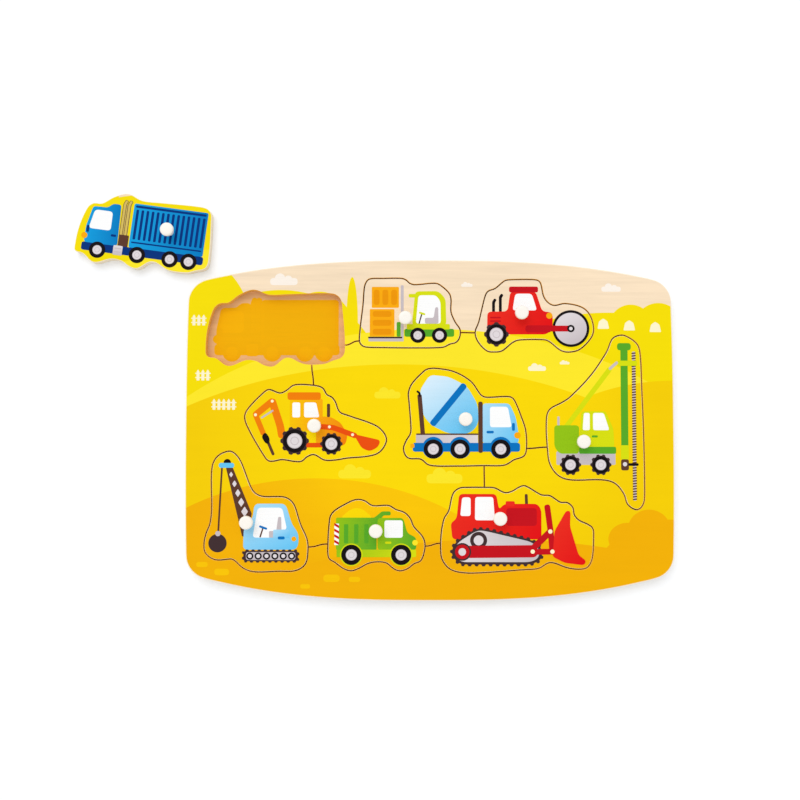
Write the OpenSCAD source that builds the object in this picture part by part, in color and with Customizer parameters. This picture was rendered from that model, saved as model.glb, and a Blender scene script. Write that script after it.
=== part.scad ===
// Wooden peg puzzle: a printed plywood sheet with nine sawn-out vehicle pieces, glued on a thin backing sheet.
// Each piece lifts out by its own white peg. The truck piece is taken out and lies beside the board.
// The origin is the centre of the board's underside, with X along the board and Z up.

/* [Board] */
// Length of the board at its middle
board_w = 300; // [292:1:330]
// Depth of the board at its middle
board_d = 209; // [206:1:230]
// How far the rear edge has bowed in at the board's ends
rear_bow = 15; // [8:0.5:16]
// How far the front edge has bowed in at the board's ends
front_bow = 17; // [8:0.5:18]
// How far the short edges have bowed in at the board's corners
side_bow = 2; // [0.4:0.2:4]
// Radius of the board's corners
corner_r = 15; // [8:0.5:18]

/* [Sheets] */
// Thickness of the top sheet and of the pieces sawn from it
top_t = 6; // [5:0.5:9]
// Thickness of the backing sheet
backing_t = 3; // [2:0.5:4]

/* [Saw cut] */
// Width of the saw cut round each piece and of the slits between pockets
kerf = 0.8; // [0.5:0.1:1.2]
// Diameter of the small holes where the saw blade was threaded in
start_hole_d = 1.7; // [1.4:0.1:2.4]

/* [Pegs] */
// Diameter of a peg's head
head_d = 8.3; // [7:0.1:10]
// Height of a peg's head
head_h = 3.4; // [3:0.1:4.5]
// Radius that rounds the head's edges
head_edge_r = 1.2; // [0.6:0.1:1.4]
// Diameter of the neck under the head
neck_d = 5.2; // [4.5:0.1:6]
// Height of a whole peg above its piece
peg_stand = 8.5; // [7:0.5:11]
// Diameter of the shoulder that rests on the piece
shoulder_d = 6.6; // [6.2:0.1:6.9]
// Thickness of the shoulder
shoulder_t = 0.9; // [0.5:0.1:1.5]
// Diameter of the tenon in the piece
tenon_d = 4; // [3:0.1:4.4]
// Length of the tenon
tenon_l = 4.2; // [3:0.1:4.4]
// Gap between the tenon and the wall of its hole
tenon_gap = 0.05; // [0.02:0.01:0.1]
// Gap between the tenon's end and the floor of its hole
hole_spare = 0.4; // [0.2:0.1:0.5]

/* [Truck piece] */
// Length of the truck, at the middle of its saw cut
truck_w = 84.8; // [82:0.1:87]
// Height of the truck, at the middle of its saw cut
truck_h = 46.4; // [44:0.1:48]
// How far the taken-out truck reaches in past the board's left end
taken_out_in = 15.2; // [5:0.1:16]
// How far the taken-out truck lies behind the board's rear corner
taken_out_back = 9.6; // [9:0.1:20]
// How far the taken-out truck is turned clockwise, in degrees
taken_out_turn = 7.6; // [4:0.1:9]

/* [Forklift piece] */
// Length of the forklift, at the middle of its saw cut
forklift_w = 62; // [59:0.5:64]
// Height of the forklift, at the middle of its saw cut
forklift_h = 43; // [41:0.5:45]

/* [Roller piece] */
// Length of the roller, at the middle of its saw cut
roller_w = 73; // [70:0.5:75]
// Height of the roller, at the middle of its saw cut
roller_h = 44.7; // [42:0.1:47]

/* [Backhoe piece] */
// Length of the backhoe, at the middle of its saw cut
backhoe_w = 87; // [84:0.5:89]
// Height of the backhoe, at the middle of its saw cut
backhoe_h = 47; // [45:0.5:49]

/* [Mixer piece] */
// Length of the mixer, at the middle of its saw cut
mixer_w = 75.4; // [73:0.1:78]
// Height of the mixer, at the middle of its saw cut
mixer_h = 60; // [58:0.5:62]

/* [Drill rig piece] */
// Length of the drill rig, at the middle of its saw cut
drill_rig_w = 59.7; // [57:0.1:62]
// Height of the drill rig, at the middle of its saw cut
drill_rig_h = 106.8; // [102:0.1:109]

/* [Crane piece] */
// Length of the crane, at the middle of its saw cut
crane_w = 63.5; // [61:0.5:66]
// Height of the crane, at the middle of its saw cut
crane_h = 73.5; // [70:0.5:76]

/* [Tipper piece] */
// Length of the tipper, at the middle of its saw cut
tipper_w = 59.3; // [57:0.1:62]
// Height of the tipper, at the middle of its saw cut
tipper_h = 43.4; // [41:0.1:46]

/* [Bulldozer piece] */
// Length of the bulldozer, at the middle of its saw cut
bulldozer_w = 93.2; // [90:0.1:96]
// Height of the bulldozer, at the middle of its saw cut
bulldozer_h = 53.2; // [51:0.1:55]

/* [Hidden] */
$fn = 64;
overrun = 1;          // how far a cut runs past what it cuts
bow_power = 2.7;      // the edges stay nearly straight in the middle and bow in towards the corners
edge_steps = 14;      // points along half of a board edge
corner_steps = 8;     // points round a board corner
curve_steps = 4;      // points along each curve between two outline points
slit_steps = 6;       // points along a slit

// Each vehicle's outline is a table of shares of its length and height, counted from its lower left corner.
// The saw followed one smooth curve through those points.
truck_outline_shares = [
    [0, .17], [.01, .47], [.055, .75], [.095, .815], [.16, .83], [.24, .935], [.34, 1], [.45, .935], [.6, .94],
    [.91, .95], [.965, .89], [.98, .76], [1, .27], [.985, .13], [.91, .07], [.85, .03], [.71, .03],
    [.585, .115], [.485, 0], [.425, .01], [.36, .07], [.285, .08], [.16, .005], [.07, .105], [.015, .125]
];
forklift_outline_shares = [
    [0, .1], [.005, .25], [.035, .62], [.05, .88], [.075, .965], [.11, .995], [.22, 1], [.42, 1], [.465, .975],
    [.5, .93], [.55, .91], [.73, .93], [.79, .915], [.89, .79], [.91, .7], [.91, .52], [.95, .375], [1, .26],
    [.995, .15], [.96, .08], [.9, .055], [.83, .01], [.56, 0], [.21, .005], [.055, .015], [.015, .05]
];
roller_outline_shares = [
    [0, .27], [.03, .41], [.085, .77], [.11, .84], [.17, .88], [.25, .985], [.29, 1], [.51, 1], [.55, .965],
    [.58, .77], [.62, .68], [.67, .645], [.76, .67], [.9, .62], [.97, .51], [1, .325], [.98, .2], [.885, .04],
    [.8, 0], [.725, .02], [.625, .145], [.58, .17], [.37, .165], [.315, .13], [.225, .015], [.165, 0],
    [.1, .015], [.025, .14]
];
backhoe_outline_shares = [
    [.49, .995], [.35, 1], [.295, .93], [.25, .895], [.175, .94], [.145, .92], [.03, .705], [0, .58],
    [.035, .4], [.14, .07], [.17, .01], [.205, .005], [.265, .025], [.36, 0], [.405, .005], [.44, .06],
    [.49, .09], [.565, .02], [.64, .02], [.725, .045], [.87, .07], [.95, .12], [1, .26], [.985, .37],
    [.92, .475], [.725, .605], [.67, .65], [.64, .78], [.615, .84], [.58, .875], [.55, .96]
];
mixer_outline_shares = [
    [.2, .995], [.27, 1], [.415, .965], [.55, .865], [.63, .73], [.67, .705], [.86, .71], [.9, .68],
    [.965, .485], [.995, .36], [1, .18], [.98, .105], [.9, .065], [.82, .01], [.65, .005], [.42, 0],
    [.21, .01], [.14, .07], [.035, .085], [0, .17], [.02, .255], [.055, .33], [.06, .4], [.045, .65],
    [.04, .75], [.07, .845], [.165, .97]
];
drill_rig_outline_shares = [
    [.745, 1], [.815, 1], [.935, .955], [.97, .9], [.985, .7], [1, .41], [1, .06], [.97, .015], [.915, 0],
    [.83, .03], [.79, .09], [.7, .15], [.57, .17], [.245, .17], [.12, .195], [.035, .26], [.01, .35],
    [0, .5], [.03, .57], [.165, .615], [.245, .645], [.46, .77], [.625, .905], [.685, .98]
];
crane_outline_shares = [
    [.23, 1], [.12, .955], [.07, .86], [.07, .52], [.055, .4], [.02, .32], [0, .235], [.015, .155], [.11, .1],
    [.265, .105], [.3, .09], [.38, .03], [.485, 0], [.72, .005], [.88, .01], [.975, .065], [1, .18],
    [.99, .27], [.925, .4], [.87, .545], [.825, .595], [.76, .62], [.56, .625], [.485, .655], [.44, .715],
    [.35, .91], [.29, .98]
];
tipper_outline_shares = [
    [0, .375], [.015, .7], [.03, .78], [.075, .85], [.2, .95], [.265, .99], [.32, 1], [.38, .98], [.46, .915],
    [.625, .915], [.7, .86], [.79, .815], [.85, .73], [.885, .62], [.975, .48], [1, .38], [.99, .25],
    [.955, .14], [.89, .1], [.82, .03], [.745, 0], [.685, .025], [.6, .11], [.5, .125], [.41, .1],
    [.32, .035], [.24, 0], [.165, .03], [.07, .12], [.01, .18]
];
bulldozer_outline_shares = [
    [.29, .98], [.17, .98], [.12, .97], [.08, .91], [.05, .71], [.02, .62], [0, .43], [0, .2], [.02, .115],
    [.06, .045], [.12, .01], [.22, 0], [.55, .04], [.64, .055], [.715, .12], [.83, .06], [.91, .045],
    [.96, .07], [.99, .17], [1, .41], [.995, .51], [.965, .555], [.905, .605], [.875, .665], [.865, .75],
    [.83, .805], [.785, .81], [.715, .885], [.66, .895], [.575, .98], [.545, 1], [.51, .98], [.465, .935],
    [.42, .92], [.35, .975]
];

// Rows of vehicles, from left to right: the gap before each, as a share of the length that the row leaves
// free, and how far behind the board's middle its centre lies, as a share of the board's depth
middle_row_gap_shares = [.4662, .1361, .1573];
middle_row_depth_shares = [.018, .036, .021];
rear_row_gap_shares = [.2877, .2157, .2139];
rear_row_depth_shares = [.299, .343, .335];
front_row_gap_shares = [.255, .2562, .2076];
front_row_depth_shares = [-.24, -.309, -.292];
// The drill rig's mast stands to the right of this share of its length, and the other two rows end there
mast_share = .7;

// Each peg's place, as shares of its vehicle
truck_peg_shares = [.68, .556];
forklift_peg_shares = [.454, .413];
roller_peg_shares = [.383, .525];
backhoe_peg_shares = [.498, .465];
mixer_peg_shares = [.499, .477];
drill_rig_peg_shares = [.362, .389];
crane_peg_shares = [.42, .414];
tipper_peg_shares = [.495, .57];
bulldozer_peg_shares = [.381, .63];

function total(values) = values * [for (value = values) 1];

// Where the vehicles of a row lie, from the board's left end to the row's right end
function row_places(right_end, lengths, gap_shares, depth_shares) =
    let (free = right_end + board_w / 2 - total(lengths))
    [for (i = [0:len(lengths) - 1]) [
        total([for (k = [0:i]) lengths[k] + free * gap_shares[k]]) - (board_w + lengths[i]) / 2,
        depth_shares[i] * board_d
    ]];
middle_row = row_places(
    board_w / 2, [backhoe_w, mixer_w, drill_rig_w], middle_row_gap_shares, middle_row_depth_shares
);
mast_x = middle_row[2].x + (mast_share - 1 / 2) * drill_rig_w;
rear_row = row_places(mast_x, [truck_w, forklift_w, roller_w], rear_row_gap_shares, rear_row_depth_shares);
front_row = row_places(mast_x, [crane_w, tipper_w, bulldozer_w], front_row_gap_shares, front_row_depth_shares);

// Each vehicle: its size, its place on the board, its peg's shares and its outline's shares
TRUCK = [[truck_w, truck_h], rear_row[0], truck_peg_shares, truck_outline_shares];
FORKLIFT = [[forklift_w, forklift_h], rear_row[1], forklift_peg_shares, forklift_outline_shares];
ROLLER = [[roller_w, roller_h], rear_row[2], roller_peg_shares, roller_outline_shares];
BACKHOE = [[backhoe_w, backhoe_h], middle_row[0], backhoe_peg_shares, backhoe_outline_shares];
MIXER = [[mixer_w, mixer_h], middle_row[1], mixer_peg_shares, mixer_outline_shares];
DRILL_RIG = [[drill_rig_w, drill_rig_h], middle_row[2], drill_rig_peg_shares, drill_rig_outline_shares];
CRANE = [[crane_w, crane_h], front_row[0], crane_peg_shares, crane_outline_shares];
TIPPER = [[tipper_w, tipper_h], front_row[1], tipper_peg_shares, tipper_outline_shares];
BULLDOZER = [[bulldozer_w, bulldozer_h], front_row[2], bulldozer_peg_shares, bulldozer_outline_shares];
VEHICLES = [TRUCK, FORKLIFT, ROLLER, BACKHOE, MIXER, DRILL_RIG, CRANE, TIPPER, BULLDOZER];

// The slits that the saw left on its way from pocket to pocket: where each leaves one vehicle and meets
// the next
slit_end_shares = [
    [TRUCK, [1, .27], FORKLIFT, [0, .1]],
    [FORKLIFT, [1, .22], ROLLER, [0, .265]],
    [TRUCK, [.765, .03], BACKHOE, [.485, .995]],
    [MIXER, [1, .18], DRILL_RIG, [.01, .357]],
    [MIXER, [.655, .005], BULLDOZER, [.285, .98]],
    [CRANE, [1, .205], TIPPER, [0, .375]],
    [TIPPER, [1, .345], BULLDOZER, [0, .34]]
];
start_hole_shares = [[BACKHOE, [.485, .995]], [CRANE, [1, .205]]];

// Curves
function unit(v) = v / norm(v);
function wrap(loop, i) = loop[(i + len(loop)) % len(loop)];
function side_of(v) = [v.y, -v.x];

// Point at t on the cubic curve that starts at a, heads for b, comes from c and ends at d
function cubic(a, b, c, d, t) =
    a * pow(1 - t, 3) + 3 * b * t * pow(1 - t, 2) + 3 * c * pow(t, 2) * (1 - t) + d * pow(t, 3);

// A closed loop's direction at point i is that of the line between its two neighbours
function heading(loop, i) = unit(wrap(loop, i + 1) - wrap(loop, i - 1));

// A smooth closed curve through the points: one cubic from each to the next, with handles a third of its length
function smooth_loop(loop) = [
    for (i = [0:len(loop) - 1])
        let (a = loop[i], b = wrap(loop, i + 1), reach = norm(b - a) / 3)
        for (step = [0:curve_steps - 1])
            cubic(a, a + reach * heading(loop, i), b - reach * heading(loop, i + 1), b, step / curve_steps)
];

// The loop moved out by d, square to itself, whichever way round it runs
function grown_loop(loop, d) =
    let (way = sign(total([for (i = [0:len(loop) - 1]) cross(loop[i], wrap(loop, i + 1))])))
    [for (i = [0:len(loop) - 1]) loop[i] + way * d * side_of(heading(loop, i))];

// Places
function spot(vehicle, shares) = [
    (shares.x - 1 / 2) * vehicle[0].x,
    (shares.y - 1 / 2) * vehicle[0].y
];
function spot_on_board(vehicle, shares) = vehicle[1] + spot(vehicle, shares);
function saw_line(vehicle) = smooth_loop([for (shares = vehicle[3]) spot(vehicle, shares)]);
taken_out_place = [
    taken_out_in - (board_w + truck_w) / 2,
    taken_out_back + (board_d + truck_h) / 2 - rear_bow
];

// Board outline: each edge bows in by a power of the distance from its middle, and the edges meet in smooth
// corners. It is worked out for a quarter of the board at a time, with the bow of that quarter's long edge.
function bowed_in(bow, along, half) = bow * pow(along / half, bow_power);
function bow_slope(bow, along, half) = bow * bow_power / half * pow(along / half, bow_power - 1);
function long_edge(bow, x) = [x, board_d / 2 - bowed_in(bow, x, board_w / 2)];
function side_edge(y) = [board_w / 2 - bowed_in(side_bow, y, board_d / 2), y];
function quarter_outline(bow) =
    let (
        corner_x = side_edge(board_d / 2 - bow).x,
        corner_y = long_edge(bow, corner_x).y,
        // The corner turns through a right angle less the slopes of the two edges
        long_turn = atan(bow_slope(bow, corner_x, board_w / 2)),
        turn = 90 - long_turn - atan(bow_slope(side_bow, corner_y, board_d / 2)),
        cut = corner_r * tan(turn / 2),
        handle = corner_r * tan(turn / 4) * 4 / 3,
        a = long_edge(bow, corner_x - cut),
        d = side_edge(corner_y - cut),
        b = a + handle * unit([1, -bow_slope(bow, a.x, board_w / 2)]),
        c = d + handle * unit([-bow_slope(side_bow, d.y, board_d / 2), 1])
    )
    concat(
        [for (step = [0:edge_steps]) long_edge(bow, a.x * step / edge_steps)],
        [for (step = [1:corner_steps - 1]) cubic(a, b, c, d, step / corner_steps)],
        [for (step = [edge_steps:-1:0]) side_edge(d.y * step / edge_steps)]
    );
function mirrored(points, way) = [for (point = points) [point.x * way.x, point.y * way.y]];
function backwards(points) = [for (i = [len(points) - 2:-1:1]) points[i]];
rear_quarter = quarter_outline(rear_bow);
front_quarter = quarter_outline(front_bow);
board_outline = concat(
    rear_quarter,
    backwards(mirrored(front_quarter, [1, -1])),
    mirrored(front_quarter, [-1, -1]),
    backwards(mirrored(rear_quarter, [-1, 1]))
);

module board_sheet() {
    polygon(board_outline);
}

module pocket(vehicle) {
    translate(vehicle[1]) polygon(grown_loop(saw_line(vehicle), kerf / 2));
}

// A slit leaves one pocket and enters the next along the longer way between them
module slit(link) {
    a = spot_on_board(link[0], link[1]);
    b = spot_on_board(link[2], link[3]);
    gap = b - a;
    handle = abs(gap.x) > abs(gap.y) ? [gap.x / 2, 0] : [0, gap.y / 2];
    middle = [for (step = [0:slit_steps]) cubic(a, a + handle, b - handle, b, step / slit_steps)];
    run = concat([a - overrun * unit(handle)], middle, [b + overrun * unit(handle)]);
    last = len(run) - 1;
    ways = [for (i = [0:last]) unit(run[min(i + 1, last)] - run[max(i - 1, 0)])];
    polygon(concat(
        [for (i = [0:last]) run[i] + kerf / 2 * side_of(ways[i])],
        [for (i = [last:-1:0]) run[i] - kerf / 2 * side_of(ways[i])]
    ));
}

module start_hole(vehicle, shares) {
    translate(spot_on_board(vehicle, shares)) circle(d = start_hole_d);
}

// A vehicle piece about its own centre, with the blind hole for its peg
module sawn_piece(vehicle) {
    difference() {
        linear_extrude(height = top_t) polygon(grown_loop(saw_line(vehicle), -kerf / 2));
        translate([0, 0, top_t - tenon_l - hole_spare]) translate(spot(vehicle, vehicle[2]))
            cylinder(d = tenon_d + 2 * tenon_gap, h = tenon_l + hole_spare + overrun);
    }
}

// Half of a peg's section: tenon, shoulder, neck, and a head with rounded edges
module peg_section() {
    rim_x = head_d / 2 - head_edge_r;
    translate([0, -tenon_l]) square([tenon_d / 2, tenon_l + shoulder_t]);
    square([shoulder_d / 2, shoulder_t]);
    square([neck_d / 2, peg_stand - head_edge_r]);
    translate([0, peg_stand - head_h]) {
        square([rim_x, head_h]);
        translate([0, head_edge_r]) square([head_d / 2, head_h - 2 * head_edge_r]);
        intersection() {
            union() {
                translate([rim_x, head_edge_r]) circle(r = head_edge_r);
                translate([rim_x, head_h - head_edge_r]) circle(r = head_edge_r);
            }
            square([head_d / 2, head_h]);
        }
    }
}

module peg(vehicle) {
    color("ivory") translate([0, 0, top_t]) translate(spot(vehicle, vehicle[2]))
        rotate_extrude() peg_section();
}

// Where a piece lies: in its pocket on the backing sheet, or on the table beside the board
module in_pocket(vehicle) {
    translate([0, 0, backing_t]) translate(vehicle[1]) children();
}

module taken_out() {
    translate(taken_out_place) rotate(-taken_out_turn) children();
}

module top_board() {
    color("gold") translate([0, 0, backing_t]) linear_extrude(height = top_t)
        difference() {
            board_sheet();
            for (vehicle = VEHICLES) pocket(vehicle);
            for (link = slit_end_shares) slit(link);
            for (hole = start_hole_shares) start_hole(hole[0], hole[1]);
        }
}

module backing_board() {
    color("burlywood") linear_extrude(height = backing_t) board_sheet();
}

module truck_piece() {
    taken_out() color("deepskyblue") sawn_piece(TRUCK);
}

module truck_peg() {
    taken_out() peg(TRUCK);
}

module forklift_piece() {
    in_pocket(FORKLIFT) color("yellowgreen") sawn_piece(FORKLIFT);
}

module forklift_peg() {
    in_pocket(FORKLIFT) peg(FORKLIFT);
}

module roller_piece() {
    in_pocket(ROLLER) color("red") sawn_piece(ROLLER);
}

module roller_peg() {
    in_pocket(ROLLER) peg(ROLLER);
}

module backhoe_piece() {
    in_pocket(BACKHOE) color("orange") sawn_piece(BACKHOE);
}

module backhoe_peg() {
    in_pocket(BACKHOE) peg(BACKHOE);
}

module mixer_piece() {
    in_pocket(MIXER) color("skyblue") sawn_piece(MIXER);
}

module mixer_peg() {
    in_pocket(MIXER) peg(MIXER);
}

module drill_rig_piece() {
    in_pocket(DRILL_RIG) color("limegreen") sawn_piece(DRILL_RIG);
}

module drill_rig_peg() {
    in_pocket(DRILL_RIG) peg(DRILL_RIG);
}

module crane_piece() {
    in_pocket(CRANE) color("lightskyblue") sawn_piece(CRANE);
}

module crane_peg() {
    in_pocket(CRANE) peg(CRANE);
}

module tipper_piece() {
    in_pocket(TIPPER) color("forestgreen") sawn_piece(TIPPER);
}

module tipper_peg() {
    in_pocket(TIPPER) peg(TIPPER);
}

module bulldozer_piece() {
    in_pocket(BULLDOZER) color("crimson") sawn_piece(BULLDOZER);
}

module bulldozer_peg() {
    in_pocket(BULLDOZER) peg(BULLDOZER);
}

top_board();
backing_board();
truck_piece();
truck_peg();
forklift_piece();
forklift_peg();
roller_piece();
roller_peg();
backhoe_piece();
backhoe_peg();
mixer_piece();
mixer_peg();
drill_rig_piece();
drill_rig_peg();
crane_piece();
crane_peg();
tipper_piece();
tipper_peg();
bulldozer_piece();
bulldozer_peg();
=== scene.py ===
import math

import bpy
import numpy as np
from bpy.props import FloatProperty, FloatVectorProperty, IntProperty, PointerProperty
from bpy.types import Operator, Panel, PropertyGroup
from mathutils.geometry import tessellate_polygon
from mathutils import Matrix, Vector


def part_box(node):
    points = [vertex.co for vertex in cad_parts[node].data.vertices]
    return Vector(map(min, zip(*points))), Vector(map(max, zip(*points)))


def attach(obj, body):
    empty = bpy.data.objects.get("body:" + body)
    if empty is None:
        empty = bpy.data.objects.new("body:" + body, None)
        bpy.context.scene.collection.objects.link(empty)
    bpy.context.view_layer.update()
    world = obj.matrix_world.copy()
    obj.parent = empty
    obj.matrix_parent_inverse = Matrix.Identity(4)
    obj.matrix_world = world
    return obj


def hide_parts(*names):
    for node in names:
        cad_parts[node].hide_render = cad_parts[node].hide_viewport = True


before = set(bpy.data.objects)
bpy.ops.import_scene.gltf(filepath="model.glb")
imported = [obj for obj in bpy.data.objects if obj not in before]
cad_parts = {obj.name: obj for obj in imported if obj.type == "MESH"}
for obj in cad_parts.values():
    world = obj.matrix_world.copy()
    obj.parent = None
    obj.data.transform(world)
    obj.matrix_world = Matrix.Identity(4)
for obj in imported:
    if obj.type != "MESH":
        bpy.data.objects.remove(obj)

# Wooden peg puzzle: a printed plywood board with nine sawn-out vehicles, each with a white painted peg.
# The packed CAD model gives every outline. Each plate is rebuilt from the boundary of its CAD node with
# sanded rims, the prints are thin films of ink on the plates, and the pegs are turned profiles.

bl_info = {
    "name": "Wooden peg puzzle",
    "version": (1, 0, 0),
    "blender": (4, 5, 0),
    "location": "3D View > Sidebar > Peg puzzle",
    "description": "Builds a printed wooden peg puzzle with nine lift-out vehicles",
    "category": "Add Mesh",
}

MM = 0.001
MICROMETRE = MM / 1000
MAP_NAME = "OFBake"  # the name of the map that build_plate gives each plate
MAP_GAP = 0.004  # between the islands of a map, as a share of its width
# The truck lies beside the board, turned by an angle from the way it goes into its pocket. There its peg
# would stand at its home.
TRUCK_TURN = math.radians(-7.6)
TRUCK_HOME = np.array([-79.803, 65.088]) * MM
HALF_BOARD = (150.0, 105.0)  # millimetres from the middle of the print to its edges
FACE_TOLERANCE = 10 * MICROMETRE  # a CAD face counts as flat within this
LEAST_MITRE = 0.3  # keeps a sharp corner from running away when its loop is moved
NEARLY_HALF = 0.48  # how much of a short side a rounded corner takes
SENSOR_WIDTH = 36  # of the camera, in millimetres


def length_of(name, description, millimetres):
    """A length setting whose default is given in millimetres."""
    return FloatProperty(name=name, description=description, default=millimetres * MM, unit="LENGTH")


def colour_of(name, description, red, green, blue):
    """A colour setting whose default is given as it looks on a screen, from 0 to 255. Each part is turned
    to the linear value by the screen's curve: about a thirteenth of it near black, and a power of 2.4
    above that."""
    parts = np.array([red, green, blue]) / 255
    linear = np.where(parts <= 0.04045, parts / 12.92, ((parts + 0.055) / 1.055) ** 2.4)
    return FloatVectorProperty(
        name=name, description=description, subtype="COLOR", size=3, min=0, max=1, default=tuple(linear)
    )


class PlateSettings(PropertyGroup):
    """Sizes and woods of the plywood plates."""

    rim: length_of("Rim", "Radius of the rims along the saw cuts", 0.12)
    board_rim: length_of("Board rim", "Radius of the sanded rims round the boards", 0.6)
    truck_rim: length_of("Truck rim", "Radius of the upper rim of the piece that is out", 0.3)
    hem: length_of("Hem", "Flat ring between a rim and the face", 0.04)
    least: length_of("Least segment", "Shortest step along an outline", 0.4)
    lift: length_of("Lift", "Air between a plate and what it lies on", 0.08)
    ply: length_of("Ply", "Thickness of a middle ply, twice that of a face ply", 1.5)
    rim_steps: IntProperty(name="Rim steps", description="Faces round a rim", default=3, min=1)
    curve_steps: IntProperty(
        name="Curve steps", description="Points for each segment of a CAD outline", default=3, min=1
    )
    pale: colour_of("Pale wood", "Bleached face wood that shows through the sky", 247, 224, 193)
    tan: colour_of("Tan wood", "Face wood of the backing sheet", 232, 184, 130)
    clean: colour_of("Clean edge", "Sanded edge wood of the boards and the pieces", 255, 240, 214)
    # The sawn edge colour is darker and more orange than the clean edge of the pieces cut by the same saw:
    # it is painted shade on the pocket walls and in the saw cuts.
    sawn: colour_of("Sawn edge", "Edge wood in the pockets, which the saw has darkened", 252, 194, 96)


class PrintSettings(PropertyGroup):
    """Thickness and colours of the prints."""

    film: length_of("Film", "Height of a layer of ink over the one below", 0.02)
    yellow: colour_of("Yellow", "Hills against the sky", 243, 220, 0)
    light: colour_of("Light yellow", "Far field", 250, 229, 40)
    field: colour_of("Field", "Middle field", 248, 215, 0)
    deep: colour_of("Deep field", "Middle field near the board's edge", 242, 203, 0)
    gold: colour_of("Gold", "Near hill", 247, 195, 0)
    amber: colour_of("Amber", "Ground in front, and the floors of the pockets", 240, 175, 0)
    cream: colour_of("Cream", "Clouds and fences", 252, 244, 205)
    cloud: colour_of("Cloud", "Clouds on the bare wood", 251, 241, 229)
    white: colour_of("White", "Windows", 252, 252, 252)
    black: colour_of("Black", "Tyres", 18, 12, 16)
    coal: colour_of("Coal", "Tracks and hanging weight", 64, 46, 48)
    brown: colour_of("Brown", "Posts and booms", 92, 58, 44)
    steel: colour_of("Steel", "Rims of hubs, masts and decks", 198, 188, 192)
    silver: colour_of("Silver", "Hubs and rollers", 224, 217, 220)
    navy: colour_of("Navy", "Chassis and ribs of the lorry", 0, 50, 122)
    royal: colour_of("Royal blue", "Band and chassis of the mixer", 4, 114, 190)
    blue: colour_of("Blue", "Lorry", 0, 122, 192)
    azure: colour_of("Azure", "Lit side of the lorry", 16, 158, 222)
    sky: colour_of("Sky blue", "Mixer and crane", 100, 196, 242)
    mist: colour_of("Mist blue", "Lit side of the crane and of the mixer's cab", 172, 221, 247)
    ice: colour_of("Ice blue", "Lit side of the mixer and crane", 218, 238, 251)
    red: colour_of("Red", "Roller and bulldozer", 226, 14, 20)
    scarlet: colour_of("Scarlet", "Lit side of the red vehicles", 234, 44, 30)
    crimson: colour_of("Crimson", "Arms and panels", 196, 16, 28)
    vermilion: colour_of("Vermilion", "Bucket of the loader", 232, 78, 10)
    orange: colour_of("Orange", "Arms and roof of the loader", 240, 126, 4)
    honey: colour_of("Honey", "Body of the loader, lamps and crates", 248, 170, 10)
    ochre: colour_of("Ochre", "Boards of the crates", 236, 150, 2)
    lime: colour_of("Lime", "Forklift and lit side of the green vehicles", 214, 222, 14)
    leaf: colour_of("Leaf green", "Bodies of the green vehicles", 146, 194, 20)
    green: colour_of("Green", "Chassis and ribs of the green vehicles", 86, 168, 40)
    sand: colour_of("Sand", "Exhaust stacks of the lorry", 212, 186, 96)


class PegSettings(PropertyGroup):
    """Sizes and paint of the turned pegs."""

    around: IntProperty(name="Around", description="Points round a peg", default=72, min=12)
    paint: colour_of("Peg paint", "Warm white paint of the pegs", 252, 247, 238)


class StageSettings(PropertyGroup):
    """Floor, lamps and camera."""

    floor_size: length_of("Floor", "Side of the floor", 6000)
    floor: colour_of("Floor colour", "Paper under the puzzle", 247, 249, 252)
    glow: FloatProperty(name="Glow", description="What the camera sees added to the floor", default=0.08)
    sky_level: FloatProperty(name="Sky level", description="Light from all round", default=0.81)
    lamp_level: FloatProperty(name="Lamp", description="Strength of the soft lamp", default=0.84)
    lamp_spread: FloatProperty(
        name="Lamp spread",
        description="Angle that the soft lamp fills",
        default=math.radians(40),
        subtype="ANGLE",
    )
    lamp_place: FloatVectorProperty(
        name="Lamp way",
        description="Where the soft lamp stands from the puzzle",
        default=(-0.35, 0.75, 1.25),
        subtype="DIRECTION",
    )
    camera_place: FloatVectorProperty(
        name="Camera place",
        description="Where it stands",
        default=(-0.0181, -0.0072, 0.6),
        subtype="TRANSLATION",
    )
    camera_turn: FloatVectorProperty(
        name="Camera turn",
        description="How it is turned",
        default=tuple(math.radians(angle) for angle in (2.445, 0.015, 0.024)),
        subtype="EULER",
    )
    lens: FloatProperty(name="Lens", description="Focal length in millimetres", default=43.33)


class Nodes:
    """Adds nodes to a tree and joins them."""

    def __init__(self, tree):
        self.tree = tree

    def feed(self, socket, value):
        """Joins an output to a socket, or sets the socket's own value."""
        if isinstance(value, bpy.types.NodeSocket):
            self.tree.links.new(value, socket)
        else:
            socket.default_value = value

    def node(self, kind, sockets=None, **settings):
        """A node with its settings, and with the sockets fed that are named or numbered."""
        node = self.tree.nodes.new(kind)
        for name, value in settings.items():
            setattr(node, name, value)
        for name, value in (sockets or {}).items():
            self.feed(node.inputs[name], value)
        return node

    def maths(self, operation, first, second):
        """One operation on two numbers."""
        return self.node("ShaderNodeMath", {0: first, 1: second}, operation=operation).outputs[0]


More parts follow.
